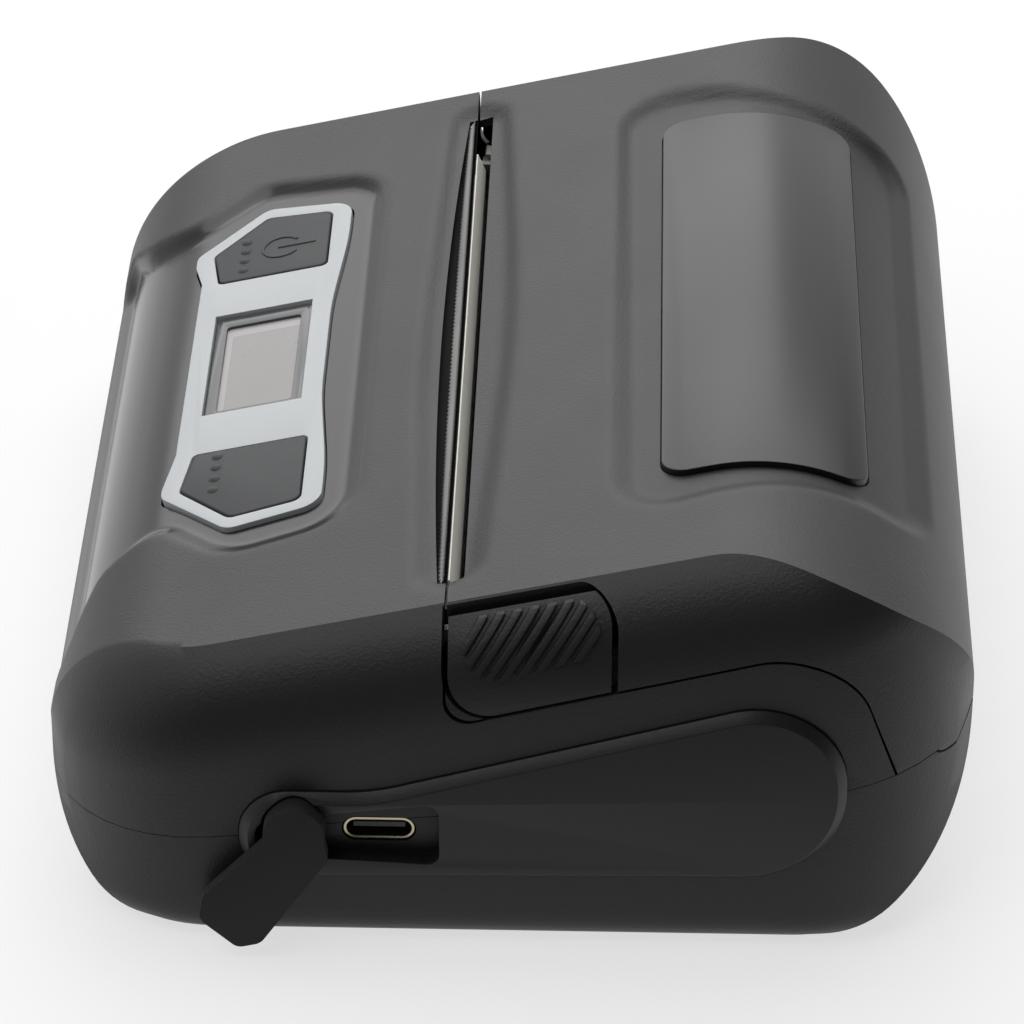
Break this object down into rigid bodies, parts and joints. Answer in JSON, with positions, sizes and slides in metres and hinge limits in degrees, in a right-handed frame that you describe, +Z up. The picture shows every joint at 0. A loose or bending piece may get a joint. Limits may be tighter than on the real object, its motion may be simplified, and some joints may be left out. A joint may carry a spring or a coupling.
{
  "type": "portable receipt printer",
  "caption": "Flat rounded portable receipt printer with a hinged paper cover and window, a serrated paper slot, a sloping key panel, a ribbed release button and a flap over its side port",
  "frame": {"origin": "on the surface the printer stands on, under the middle of its body", "axes": "+X along the paper slot towards the charging port, +Y to the rear with the hinge, +Z up"},
  "size_m": [0.1561, 0.119, 0.0556],
  "materials": {
    "shell": "fine moulded texture, charcoal",
    "plate": "fine moulded texture, slightly darker than the shells",
    "window": "clear smoke tint, polished",
    "bezel": "satin paint, light grey",
    "key": "fine moulded texture with four raised dots",
    "screen": "dark display glass",
    "rubber": "soft matt",
    "roller": "ground matt",
    "port": "nickel plated, slightly warm",
    "steel": "drawn and cut steel",
    "sheet": "zinc plated sheet",
    "black_sheet": "blackened sheet, ground teeth",
    "spring": "drawn spring wire",
    "brass": "machined",
    "heat_sink": "extruded, plain",
    "ceramic": "glazed heater strip",
    "gear": "natural acetal",
    "bush": "natural acetal",
    "inner": "plain moulded",
    "motor": "plated can",
    "circuit": "green solder mask",
    "cable": "amber film cable",
    "battery": "shrink wrap",
    "paper": "smooth thermal paper",
    "card": "wound tube"
  },
  "bodies": {
    "case": {"bottom_case": "shell", "top_case": "shell", "right_side_plate": "plate", "left_side_plate": "plate", "usb_socket": "port", "hinge_pins": "steel", "panel_bezel": "bezel", "panel_board": "circuit", "panel_switches": "inner", "display_lens": "window", "display_module": "screen", "tear_blade": "black_sheet", "paper_web": "paper", "roll_cradle": "inner", "idler_stud": "steel", "drive_motor": "motor", "mechanism_frame": "sheet", "head_pivot_pin": "steel", "head_springs": "spring", "head_cable": "cable", "latch_spring": "spring", "button_spring": "spring", "main_board": "circuit", "board_parts": "inner", "battery_pack": "battery", "battery_door": "shell", "battery_contacts": "brass", "door_screws": "steel", "case_screws": "steel", "board_screws": "steel", "paper_sensor": "inner"},
    "cover": {"paper_cover": "shell", "cover_window": "window", "platen_bracket": "inner", "platen_bushes": "bush"},
    "platen": {"platen_shaft": "steel", "platen_roller": "roller", "platen_gear": "gear"},
    "idler": {"idler_gear": "gear"},
    "pinion": {"motor_pinion": "brass"},
    "head": {"head_heat_sink": "heat_sink", "print_head": "ceramic"},
    "latch": {"latch_rod": "steel", "latch_hooks": "black_sheet"},
    "release": {"latch_button": "shell"},
    "power_key": {"power_button": "key"},
    "feed_key": {"feed_button": "key"},
    "flap": {"port_flap": "rubber"},
    "roll": {"paper_roll": "paper", "paper_core": "card"}
  },
  "joints": [
    {"name": "cover_hinge", "type": "hinge", "parent": "case", "child": "cover", "pos_m": [0, 0.057, 0.0278], "axis": [-1, 0, 0], "range_deg": [0, 80]},
    {"name": "release_press", "type": "slide", "parent": "case", "child": "release", "axis": [-1, 0, 0], "range_m": [0, 0.0009], "stiffness_N_per_m": 1500, "springref_m": -0.001},
    {"name": "latch_turn", "type": "hinge", "parent": "case", "child": "latch", "pos_m": [0, -0.0143, 0.027], "axis": [1, 0, 0], "range_deg": [0, 5]},
    {"name": "power_press", "type": "slide", "parent": "case", "child": "power_key", "axis": [0, 0.225, -0.9744], "range_m": [0, 0.0006], "stiffness_N_per_m": 800, "springref_m": -0.0005},
    {"name": "feed_press", "type": "slide", "parent": "case", "child": "feed_key", "axis": [0, 0.225, -0.9744], "range_m": [0, 0.0006], "stiffness_N_per_m": 800, "springref_m": -0.0005},
    {"name": "flap_swing", "type": "hinge", "parent": "case", "child": "flap", "pos_m": [0.0782, -0.0266, 0.0194], "axis": [1, 0, 0], "range_deg": [-20, 131]},
    {"name": "platen_spin", "type": "hinge", "parent": "cover", "child": "platen", "pos_m": [0, -0.0012, 0.0398], "axis": [1, 0, 0], "continuous": true},
    {"name": "idler_spin", "type": "hinge", "parent": "case", "child": "idler", "pos_m": [-0.0588, -0.00414, 0.02755], "axis": [1, 0, 0], "continuous": true},
    {"name": "pinion_spin", "type": "hinge", "parent": "case", "child": "pinion", "pos_m": [-0.0588, -0.00135, 0.01712], "axis": [1, 0, 0], "continuous": true},
    {"name": "roll_spin", "type": "hinge", "parent": "case", "child": "roll", "pos_m": [0, 0.031, 0.0268], "axis": [1, 0, 0], "continuous": true},
    {"name": "head_swing", "type": "hinge", "parent": "case", "child": "head", "pos_m": [0, -0.0106, 0.031], "axis": [1, 0, 0], "range_deg": [0, 2.5], "stiffness_Nm_per_rad": 0.5, "springref_deg": -2.86}
  ],
  "couplings": [
    {"joint": "latch_turn", "follows": "release_press", "rad_per_m": 96.9},
    {"joint": "idler_spin", "follows": "platen_spin", "ratio": -0.75},
    {"joint": "pinion_spin", "follows": "platen_spin", "ratio": 1.5},
    {"joint": "roll_spin", "follows": "platen_spin", "ratio": -0.25}
  ]
}
